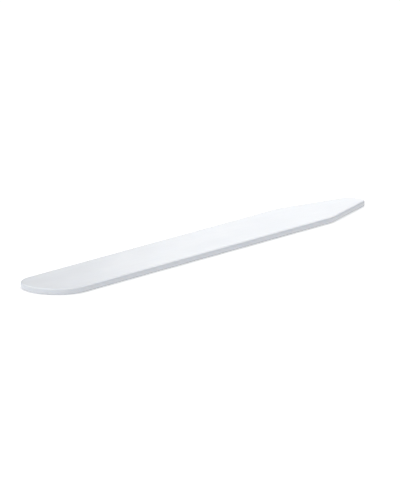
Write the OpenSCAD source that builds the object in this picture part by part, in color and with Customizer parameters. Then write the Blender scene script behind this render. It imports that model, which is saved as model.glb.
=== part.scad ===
// Collar stay: a flat plastic blade that stiffens the point of a shirt collar.
// It is one piece, with a full round end, straight sides and a tapered blunt tip.
// It lies flat on Z = 0, with its length along X and its tip towards +X.
// The origin is under the middle of its length and width.

/* [Blade] */
// Length from the round end to the tip, 2 3/4 inches (mm)
stay_length = 69.85; // [50:0.05:90]
// Width across the straight sides (mm)
stay_width = 9.0; // [7:0.1:14]
// Thickness of the plastic (mm)
stay_thickness = 0.75; // [0.6:0.05:1.5]

/* [Tip] */
// Length of the tapered part, from the shoulder to the tip (mm)
taper_length = 11.8; // [8:0.1:20]
// Width of the blunt tip between its corners, before they are rounded (mm)
tip_width = 3.0; // [2.4:0.1:6]
// Radius of the two corners of the tip, seen from above (mm)
tip_corner_radius = 1.2; // [0.6:0.1:1.4]

/* [Edges] */
// Radius of the eased edge around the top and bottom faces (mm)
edge_radius = 0.25; // [0.05:0.01:0.28]

/* [Hidden] */
plastic_white = [0.93, 0.94, 0.96];
end_fn = 96;
corner_fn = 48;
edge_fn = 24;
half_width = stay_width / 2;

// The round end is half of a disc that spans the full width.
round_end_x = half_width - stay_length / 2;

// Each side turns in by this angle at the shoulder.
taper_angle = atan((half_width - tip_width / 2) / taper_length);

// The shoulder is rounded by a disc of the full width, which touches the straight
// sides and the tapered sides.
tip_x = stay_length / 2;
shoulder_x = tip_x - taper_length - half_width * tan(taper_angle / 2);

// Centre of a rounded corner of the tip, which touches the tip and a tapered side.
corner_x = tip_x - tip_corner_radius;
corner_y = tip_width / 2 - tip_corner_radius * (1 - sin(taper_angle)) / cos(taper_angle);

// Cross-section of a disc, from its axis out to its eased rim at radius.
module eased_section(radius) {
    square([radius - edge_radius, stay_thickness]);
    translate([0, edge_radius])
        square([radius, stay_thickness - 2 * edge_radius]);
    for (height = [edge_radius, stay_thickness - edge_radius])
        translate([radius - edge_radius, height])
            circle(edge_radius, $fn = edge_fn);
}

// Disc as thick as the blade, with its top and bottom rims eased.
module eased_disc(radius, x, y = 0) {
    translate([x, y, 0])
        rotate_extrude()
            eased_section(radius);
}

// The outline bulges nowhere inwards, so the blade is stretched round four discs:
// the round end, the shoulder and the two corners of the tip.
module blade() {
    color(plastic_white)
        hull() {
            eased_disc(half_width, round_end_x, $fn = end_fn);
            eased_disc(half_width, shoulder_x, $fn = end_fn);
            for (side = [-1, 1])
                eased_disc(tip_corner_radius, corner_x, side * corner_y, $fn = corner_fn);
        }
}

blade();
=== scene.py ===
import math

import bmesh
import bpy
from mathutils import Matrix, Vector


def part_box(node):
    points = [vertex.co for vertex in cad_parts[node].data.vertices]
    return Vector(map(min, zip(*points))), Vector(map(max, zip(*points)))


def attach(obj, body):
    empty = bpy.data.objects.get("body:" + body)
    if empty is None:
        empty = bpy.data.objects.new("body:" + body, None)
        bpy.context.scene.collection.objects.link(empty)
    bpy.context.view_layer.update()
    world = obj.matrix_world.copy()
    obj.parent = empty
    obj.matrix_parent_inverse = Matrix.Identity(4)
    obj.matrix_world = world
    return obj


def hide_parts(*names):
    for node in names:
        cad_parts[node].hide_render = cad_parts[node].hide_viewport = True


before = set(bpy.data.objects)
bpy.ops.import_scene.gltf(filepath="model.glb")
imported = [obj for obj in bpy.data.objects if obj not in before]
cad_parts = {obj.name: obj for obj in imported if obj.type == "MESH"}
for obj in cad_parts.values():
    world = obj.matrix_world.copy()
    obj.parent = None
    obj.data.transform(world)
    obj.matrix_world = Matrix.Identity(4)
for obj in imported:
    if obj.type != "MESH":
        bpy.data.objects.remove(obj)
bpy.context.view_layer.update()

# The blade is the whole collar stay: one flat springy strip of glossy white plastic, which slides
# into a pocket under the point of a shirt collar. It is moulded in one piece, with a full round end,
# straight sides, two tapered sides, a blunt tip and an eased edge all round.
blade_low, blade_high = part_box("blade")
blade_length = blade_high.x - blade_low.x
blade_width = blade_high.y - blade_low.y
blade_thickness = blade_high.z - blade_low.z
taper_length = 0.0118
tip_width = 0.0030
tip_corner_radius = 0.0012
edge_radius = 0.00025
# A thin strip of the flat face runs along the eased edge and keeps the shading of the face flat.
edge_strip = 0.00003
side_step = 0.0012
face_step = 0.0007
round_end_steps = 40
shoulder_steps = 6
tip_corner_steps = 20
edge_steps = 8
# Points closer than this are merged.
same_point = 0.0000005

blade_tree = bpy.data.node_groups.new("Blade", "GeometryNodeTree")
blade_inputs = {
    "Length": ("NodeSocketFloat", blade_length),
    "Width": ("NodeSocketFloat", blade_width),
    "Thickness": ("NodeSocketFloat", blade_thickness),
    "Taper Length": ("NodeSocketFloat", taper_length),
    "Tip Width": ("NodeSocketFloat", tip_width),
    "Tip Corner Radius": ("NodeSocketFloat", tip_corner_radius),
    "Edge Radius": ("NodeSocketFloat", edge_radius),
    "Edge Strip": ("NodeSocketFloat", edge_strip),
    "Side Step": ("NodeSocketFloat", side_step),
    "Face Step": ("NodeSocketFloat", face_step),
    "Material": ("NodeSocketMaterial", None),
}
for input_name, (socket_kind, _) in blade_inputs.items():
    blade_tree.interface.new_socket(input_name, in_out="INPUT", socket_type=socket_kind)
blade_tree.interface.new_socket("Geometry", in_out="OUTPUT", socket_type="NodeSocketGeometry")
given = blade_tree.nodes.new("NodeGroupInput").outputs


def wire(source, socket):
    """Feeds a socket with another socket, or sets it to a plain value."""
    if isinstance(source, bpy.types.NodeSocket):
        socket.id_data.links.new(source, socket)
    else:
        socket.default_value = source


def calc(operation, first, second=0.0):
    """One step of arithmetic on lengths."""
    node = blade_tree.nodes.new("ShaderNodeMath")
    node.operation = operation
    wire(first, node.inputs[0])
    wire(second, node.inputs[1])
    return node.outputs[0]


def aim(operation, first, second=(0.0, 0.0, 0.0)):
    """One step of arithmetic on points and directions."""
    node = blade_tree.nodes.new("ShaderNodeVectorMath")
    node.operation = operation
    wire(first, node.inputs[0])
    if operation == "SCALE":
        wire(second, node.inputs["Scale"])
    elif operation not in ("LENGTH", "NORMALIZE"):
        wire(second, node.inputs[1])
    return node.outputs["Value" if operation in ("LENGTH", "DISTANCE") else "Vector"]


def point(x, y, z=0.0):
    """A point from its three coordinates."""
    node = blade_tree.nodes.new("ShaderNodeCombineXYZ")
    for value, socket in zip((x, y, z), node.inputs):
        wire(value, socket)
    return node.outputs[0]


def parts_of(vector):
    """The three coordinates of a point."""
    node = blade_tree.nodes.new("ShaderNodeSeparateXYZ")
    wire(vector, node.inputs[0])
    return node.outputs


def at_corner(kind, values):
    """The value that belongs to each corner of a line, in the order of its corners."""
    node = blade_tree.nodes.new("GeometryNodeIndexSwitch")
    node.data_type = kind
    while len(node.index_switch_items) < len(values):
        node.index_switch_items.new()
    wire(blade_tree.nodes.new("GeometryNodeInputIndex").outputs[0], node.inputs[0])
    for value, socket in zip(values, node.inputs[1:]):
        wire(value, socket)
    return node.outputs[0]


def rounded_line(corners, radii, steps, spacing, closed):
    """A line through the corners, each rounded to its radius, with its long runs cut to the spacing."""
    ring = blade_tree.nodes.new("GeometryNodeCurvePrimitiveCircle")
    ring.inputs["Resolution"].default_value = len(corners)
    placed = blade_tree.nodes.new("GeometryNodeSetPosition")
    wire(ring.outputs["Curve"], placed.inputs["Geometry"])
    wire(at_corner("VECTOR", corners), placed.inputs["Position"])
    opened = blade_tree.nodes.new("GeometryNodeSetSplineCyclic")
    wire(placed.outputs[0], opened.inputs["Geometry"])
    wire(closed, opened.inputs["Cyclic"])
    rounded = blade_tree.nodes.new("GeometryNodeFilletCurve")
    rounded.mode = "POLY"
    wire(opened.outputs[0], rounded.inputs["Curve"])
    wire(at_corner("FLOAT", radii), rounded.inputs["Radius"])
    wire(at_corner("INT", steps), rounded.inputs["Count"])
    here = blade_tree.nodes.new("GeometryNodeInputPosition").outputs[0]
    following = blade_tree.nodes.new("GeometryNodeOffsetPointInCurve")
    following.inputs["Offset"].default_value = 1
    there = blade_tree.nodes.new("GeometryNodeFieldAtIndex")
    there.data_type = "FLOAT_VECTOR"
    wire(following.outputs["Point Index"], there.inputs["Index"])
    wire(here, there.inputs["Value"])
    run = aim("DISTANCE", here, there.outputs[0])
    cut = blade_tree.nodes.new("GeometryNodeSubdivideCurve")
    wire(rounded.outputs[0], cut.inputs["Curve"])
    wire(calc("FLOOR", calc("DIVIDE", run, spacing)), cut.inputs["Cuts"])
    return cut.outputs[0]


def along(line, kind, value, index):
    """A value read from the point of a line that has this index."""
    node = blade_tree.nodes.new("GeometryNodeSampleIndex")
    node.data_type = kind
    wire(line, node.inputs["Geometry"])
    wire(value, node.inputs["Value"])
    wire(index, node.inputs["Index"])
    return node.outputs[0]


def points_in(line):
    """How many points a line has."""
    node = blade_tree.nodes.new("GeometryNodeAttributeDomainSize")
    node.component = "CURVE"
    wire(line, node.inputs[0])
    return node.outputs["Point Count"]


# Outline, seen from above, anticlockwise from the near corner of the tip.
half_width = calc("MULTIPLY", given["Width"], 0.5)
half_tip = calc("MULTIPLY", given["Tip Width"], 0.5)
tip_x = calc("MULTIPLY", given["Length"], 0.5)
end_x = calc("MULTIPLY", given["Length"], -0.5)
shoulder_x = calc("SUBTRACT", tip_x, given["Taper Length"])
near_side = calc("MULTIPLY", half_width, -1.0)
near_tip = calc("MULTIPLY", half_tip, -1.0)
outline = rounded_line(
    corners=[
        point(tip_x, near_tip),
        point(tip_x, half_tip),
        point(shoulder_x, half_width),
        point(end_x, half_width),
        point(end_x, near_side),
        point(shoulder_x, near_side),
    ],
    radii=[
        given["Tip Corner Radius"],
        given["Tip Corner Radius"],
        half_width,
        half_width,
        half_width,
        half_width,
    ],
    steps=[
        tip_corner_steps,
        tip_corner_steps,
        shoulder_steps,
        round_end_steps,
        round_end_steps,
        shoulder_steps,
    ],
    spacing=given["Side Step"],
    closed=True,
)

# Half of the cross-section, from the middle of the top face out over the eased edge, down the wall
# and back to the middle of the underside.
edge_reach = calc("ADD", given["Edge Radius"], given["Edge Strip"])
face_half = calc("SUBTRACT", half_width, edge_reach)
section = rounded_line(
    corners=[
        point(0.0, 0.0, given["Thickness"]),
        point(face_half, 0.0, given["Thickness"]),
        point(half_width, 0.0, given["Thickness"]),
        point(half_width, 0.0, 0.0),
        point(face_half, 0.0, 0.0),
        point(0.0, 0.0, 0.0),
    ],
    radii=[0.0, 0.0, given["Edge Radius"], given["Edge Radius"], 0.0, 0.0],
    steps=[0, 0, edge_steps, edge_steps, 0, 0],
    spacing=given["Face Step"],
    closed=False,
)

# A grid with a column for each point of the outline and a row for each point of the section.
columns = points_in(outline)
rows = points_in(section)
sheet = blade_tree.nodes.new("GeometryNodeMeshGrid")
wire(calc("ADD", columns, 1.0), sheet.inputs["Vertices X"])
wire(rows, sheet.inputs["Vertices Y"])
index = blade_tree.nodes.new("GeometryNodeInputIndex").outputs[0]
column = calc("FLOOR", calc("DIVIDE", calc("ADD", index, 0.5), rows))
row = calc("SUBTRACT", index, calc("MULTIPLY", column, rows))
round_column = calc("FLOORED_MODULO", column, columns)
place = blade_tree.nodes.new("GeometryNodeInputPosition").outputs[0]
tangent = blade_tree.nodes.new("GeometryNodeInputTangent").outputs[0]
rim = along(outline, "FLOAT_VECTOR", place, round_column)
heading = along(outline, "FLOAT_VECTOR", tangent, round_column)
reach, _, height = parts_of(along(section, "FLOAT_VECTOR", place, row))
# The spine runs down the middle of the blade, from the centre of the round end to near the tip.
spine_x = calc("MAXIMUM", parts_of(rim)[0], calc("ADD", end_x, half_width))
spine_x = calc("MINIMUM", spine_x, calc("SUBTRACT", tip_x, half_tip))
spine = point(spine_x, 0.0)
# Behind the shoulder the rim faces straight away from the spine, and past it square to its heading.
outward = blade_tree.nodes.new("GeometryNodeSwitch")
outward.input_type = "VECTOR"
taper_rise = calc("SUBTRACT", half_width, half_tip)
taper_turn = calc("ARCTANGENT", calc("DIVIDE", taper_rise, given["Taper Length"]))
half_taper_turn = calc("MULTIPLY", taper_turn, 0.5)
straight_end = calc("SUBTRACT", shoulder_x, calc("MULTIPLY", half_width, calc("TANGENT", half_taper_turn)))
wire(calc("GREATER_THAN", parts_of(rim)[0], calc("ADD", straight_end, same_point)), outward.inputs["Switch"])
wire(aim("NORMALIZE", aim("SUBTRACT", rim, spine)), outward.inputs["False"])
wire(aim("NORMALIZE", aim("CROSS_PRODUCT", heading, (0.0, 0.0, 1.0))), outward.inputs["True"])
outward = outward.outputs[0]
# Over the eased edge a point is set in from the rim as in the section, and on the face it lies between
# the rim and the spine.
inset = calc("MINIMUM", calc("SUBTRACT", half_width, reach), edge_reach)
edge_point = aim("SUBTRACT", rim, aim("SCALE", outward, inset))
share = calc("MINIMUM", calc("DIVIDE", reach, face_half), 1.0)
flat = aim("ADD", spine, aim("SCALE", aim("SUBTRACT", edge_point, spine), share))
flat_parts = parts_of(flat)
# The attribute "wall" is 0 on the faces, grows over the eased edge and is 1 on the wall.
into_edge = calc("SUBTRACT", reach, calc("SUBTRACT", half_width, given["Edge Radius"]))
marked = blade_tree.nodes.new("GeometryNodeStoreNamedAttribute")
marked.data_type = "FLOAT"
marked.domain = "POINT"
marked.inputs["Name"].default_value = "wall"
wire(sheet.outputs["Mesh"], marked.inputs["Geometry"])
wire(calc("MAXIMUM", calc("DIVIDE", into_edge, given["Edge Radius"]), 0.0), marked.inputs["Value"])
shaped = blade_tree.nodes.new("GeometryNodeSetPosition")
wire(marked.outputs[0], shaped.inputs["Geometry"])
wire(point(flat_parts[0], flat_parts[1], height), shaped.inputs["Position"])
closed_up = blade_tree.nodes.new("GeometryNodeMergeByDistance")
wire(shaped.outputs[0], closed_up.inputs["Geometry"])
wire(same_point, closed_up.inputs["Distance"])
smooth = blade_tree.nodes.new("GeometryNodeSetShadeSmooth")
wire(closed_up.outputs[0], smooth.inputs["Geometry"])
realized = blade_tree.nodes.new("GeometryNodeRealizeInstances")
wire(smooth.outputs[0], realized.inputs[0])
coated = blade_tree.nodes.new("GeometryNodeSetMaterial")
wire(realized.outputs[0], coated.inputs["Geometry"])
wire(given["Material"], coated.inputs["Material"])
wire(coated.outputs[0], blade_tree.nodes.new("NodeGroupOutput").inputs[0])

# Cool white moulded plastic with a high gloss. The faces have a faint cloudiness, a slow swell, a fine
# ripple and lengthwise hairlines from the pocket. The walls are satin, with fine marks across them; their
# darker colour is partly their own satin grey and partly painted shade.
face_bright = (0.812, 0.836, 0.872, 1.0)
face_dull = (0.768, 0.793, 0.836, 1.0)
# The walls' colour is darker than the faces: partly their own satin grey, partly painted shade.
wall_white_and_painted_shade = (0.738, 0.763, 0.804, 1.0)
cloud_size = (0.010, 0.006, 0.006)
swell_size = (0.016, 0.009, 0.009)
swell_height = 0.000020
ripple_size = (0.0009, 0.0009, 0.0009)
ripple_height = 0.0000020
hairline_size = (0.014, 0.00022, 0.00022)
hairline_height = 0.0000009
wall_mark_size = (0.00014, 0.00014, 0.0012)
wall_mark_height = 0.000003
face_roughness = (0.08, 0.18)
wall_roughness = 0.28
noise_detail = 3.0
noise_low = 0.3
noise_high = 0.7
white_plastic = bpy.data.materials.new("white_plastic")
white_plastic.use_nodes = True
paint = white_plastic.node_tree.nodes
plastic = paint["Principled BSDF"]
plastic.inputs["IOR"].default_value = 1.49
plastic.inputs["Subsurface Weight"].default_value = 0.3
plastic.inputs["Subsurface Radius"].default_value = (0.9, 1.0, 1.2)
plastic.inputs["Subsurface Scale"].default_value = 0.0004
on_blade = paint.new("ShaderNodeTexCoord").outputs["Object"]
wall_share = paint.new("ShaderNodeAttribute")
wall_share.attribute_name = "wall"
wall_share = wall_share.outputs["Fac"]


def grain(size):
    """Noise on the blade's own coordinates, with marks of this size along each axis."""
    stretch = paint.new("ShaderNodeMapping")
    wire(on_blade, stretch.inputs["Vector"])
    wire([1.0 / length for length in size], stretch.inputs["Scale"])
    noise = paint.new("ShaderNodeTexNoise")
    wire(stretch.outputs[0], noise.inputs["Vector"])
    wire(1.0, noise.inputs["Scale"])
    wire(noise_detail, noise.inputs["Detail"])
    return noise.outputs[0]


def turned(share, first, second, kind="FLOAT"):
    """A value or colour that turns from the first to the second as the share grows from 0 to 1."""
    node = paint.new("ShaderNodeMix")
    node.data_type = kind
    # A Mix node has sockets of its own for each kind of value.
    start, end, result = {"FLOAT": (2, 3, 0), "RGBA": (6, 7, 2)}[kind]
    wire(share, node.inputs[0])
    wire(first, node.inputs[start])
    wire(second, node.inputs[end])
    return node.outputs[result]


def spread(value):
    """Noise stretched to fill the range from 0 to 1."""
    node = paint.new("ShaderNodeMapRange")
    wire(value, node.inputs["Value"])
    wire(noise_low, node.inputs["From Min"])
    wire(noise_high, node.inputs["From Max"])
    return node.outputs[0]


hairlines = spread(grain(hairline_size))
wall_marks = spread(grain(wall_mark_size))
face_colour = turned(spread(grain(cloud_size)), face_bright, face_dull, "RGBA")
# On the walls the colour turns to the darker wall colour, which holds painted shade.
wire(turned(wall_share, face_colour, wall_white_and_painted_shade, "RGBA"), plastic.inputs["Base Color"])
face_satin = turned(hairlines, face_roughness[0], face_roughness[1])
wire(turned(wall_share, face_satin, wall_roughness), plastic.inputs["Roughness"])
relief = 0.0
for pattern, pattern_height in (
    (spread(grain(swell_size)), swell_height),
    (spread(grain(ripple_size)), ripple_height),
    (turned(wall_share, hairlines, 0.0), hairline_height),
    (turned(wall_share, 0.0, wall_marks), wall_mark_height),
):
    added = paint.new("ShaderNodeMath")
    added.operation = "MULTIPLY_ADD"
    wire(pattern, added.inputs[0])
    wire(pattern_height, added.inputs[1])
    wire(relief, added.inputs[2])
    relief = added.outputs[0]
bump = paint.new("ShaderNodeBump")
wire(1.0, bump.inputs["Strength"])
wire(1.0, bump.inputs["Distance"])
wire(relief, bump.inputs["Height"])
wire(bump.outputs[0], plastic.inputs["Normal"])

blade_mesh = bpy.data.meshes.new("blade_start")
blade_start = bpy.data.objects.new("blade_start", blade_mesh)
bpy.context.collection.objects.link(blade_start)
blade_modifier = blade_start.modifiers.new("Blade", "NODES")
blade_modifier.node_group = blade_tree
for item in blade_tree.interface.items_tree:
    if item.in_out == "INPUT":
        value = blade_inputs[item.name][1]
        blade_modifier[item.identifier] = white_plastic if value is None else value
made = bpy.data.meshes.new_from_object(
    blade_start.evaluated_get(bpy.context.evaluated_depsgraph_get())
)
bpy.data.objects.remove(blade_start)
made.name = "collar_stay_blade"
# All the faces are turned outwards.
shell = bmesh.new()
shell.from_mesh(made)
bmesh.ops.recalc_face_normals(shell, faces=shell.faces)
shell.to_mesh(made)
shell.free()
blade = bpy.data.objects.new("collar_stay_blade", made)
bpy.context.collection.objects.link(blade)
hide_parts("blade")
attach(blade, "root")

# The studio: a pale satin floor, soft light from all round that is brighter on the far side, a large
# overhead softbox, and the camera at the photograph's viewing angle.
floor_half = 8.0
floor_gap = 0.00002
floor_pale = (0.95, 0.95, 0.95, 1.0)
floor_roughness = 0.3
floor_glow = 0.18
plain_white = (1.0, 1.0, 1.0, 1.0)
floor_corners = ((-1, -1), (1, -1), (1, 1), (-1, 1))
floor_mesh = bpy.data.meshes.new("floor")
floor_mesh.from_pydata(
    [(x * floor_half, y * floor_half, -floor_gap) for x, y in floor_corners], [], [(0, 1, 2, 3)]
)
floor = bpy.data.objects.new("floor", floor_mesh)
bpy.context.collection.objects.link(floor)
floor_white = bpy.data.materials.new("floor_white")
floor_white.use_nodes = True
floor_shader = floor_white.node_tree.nodes["Principled BSDF"]
floor_shader.inputs["Base Color"].default_value = floor_pale
floor_shader.inputs["Roughness"].default_value = floor_roughness
floor_shader.inputs["Emission Color"].default_value = plain_white
floor_shader.inputs["Emission Strength"].default_value = floor_glow
floor_mesh.materials.append(floor_white)

studio = bpy.data.worlds.new("studio")
bpy.context.scene.world = studio
studio.use_nodes = True
studio_nodes = studio.node_tree.nodes
looked_at = studio_nodes.new("ShaderNodeTexCoord").outputs["Generated"]


def patch(azimuth, elevation, inner, outer, inside, outside):
    """Strength of a round patch of the surroundings, in degrees, with a soft rim from inner to outer."""
    across = math.radians(azimuth)
    up = math.radians(elevation)
    facing = studio_nodes.new("ShaderNodeVectorMath")
    facing.operation = "DOT_PRODUCT"
    wire(looked_at, facing.inputs[0])
    wire((math.cos(across) * math.cos(up), math.sin(across) * math.cos(up), math.sin(up)), facing.inputs[1])
    rim = studio_nodes.new("ShaderNodeMapRange")
    rim.interpolation_type = "SMOOTHSTEP"
    wire(facing.outputs["Value"], rim.inputs["Value"])
    wire(math.cos(math.radians(outer)), rim.inputs["From Min"])
    wire(math.cos(math.radians(inner)), rim.inputs["From Max"])
    wire(outside, rim.inputs["To Min"])
    wire(inside, rim.inputs["To Max"])
    return rim.outputs["Result"]


# The surroundings are even, and dark on the near side. The gloss reflects a bright window low on the far
# side, and a soft flag at its left that shades the round end.
surround = patch(azimuth=318.0, elevation=-5.0, inner=38.0, outer=70.0, inside=0.0, outside=0.72)
window = patch(azimuth=36.0, elevation=15.0, inner=18.0, outer=50.0, inside=0.48, outside=0.0)
flag = patch(azimuth=51.5, elevation=10.0, inner=13.2, outer=15.1, inside=0.0, outside=1.0)
lit = studio_nodes.new("ShaderNodeMath")
lit.operation = "ADD"
wire(surround, lit.inputs[0])
wire(window, lit.inputs[1])
flagged = studio_nodes.new("ShaderNodeMath")
flagged.operation = "MULTIPLY"
wire(lit.outputs[0], flagged.inputs[0])
wire(flag, flagged.inputs[1])
wire(flagged.outputs[0], studio_nodes["Background"].inputs["Strength"])
wire(plain_white, studio_nodes["Background"].inputs["Color"])

softbox_size = 1.2
softbox_height = 1.2
softbox_power = 6.9
softbox = bpy.data.lights.new("softbox", "AREA")
softbox.size = softbox_size
softbox.energy = softbox_power
softbox_lamp = bpy.data.objects.new("softbox", softbox)
softbox_lamp.location = (0.0, 0.0, softbox_height)
bpy.context.collection.objects.link(softbox_lamp)

camera_azimuth = math.radians(306.4)
camera_elevation = math.radians(12.17)
camera_distance = 1.0837
camera_roll = math.radians(0.45)
lens_length = 620.0
blade_middle = (blade_low + blade_high) / 2
towards_camera = Vector((
    math.sin(camera_azimuth) * math.cos(camera_elevation),
    -math.cos(camera_azimuth) * math.cos(camera_elevation),
    math.sin(camera_elevation),
))
lens = bpy.data.cameras.new("camera")
lens.lens = lens_length
camera = bpy.data.objects.new("camera", lens)
bpy.context.collection.objects.link(camera)
camera.matrix_world = (
    Matrix.Translation(blade_middle + towards_camera * camera_distance)
    @ (-towards_camera).to_track_quat("-Z", "Y").to_matrix().to_4x4()
    @ Matrix.Rotation(camera_roll, 4, "Z")
)
bpy.context.scene.camera = camera
bpy.context.scene.view_settings.view_transform = "Standard"
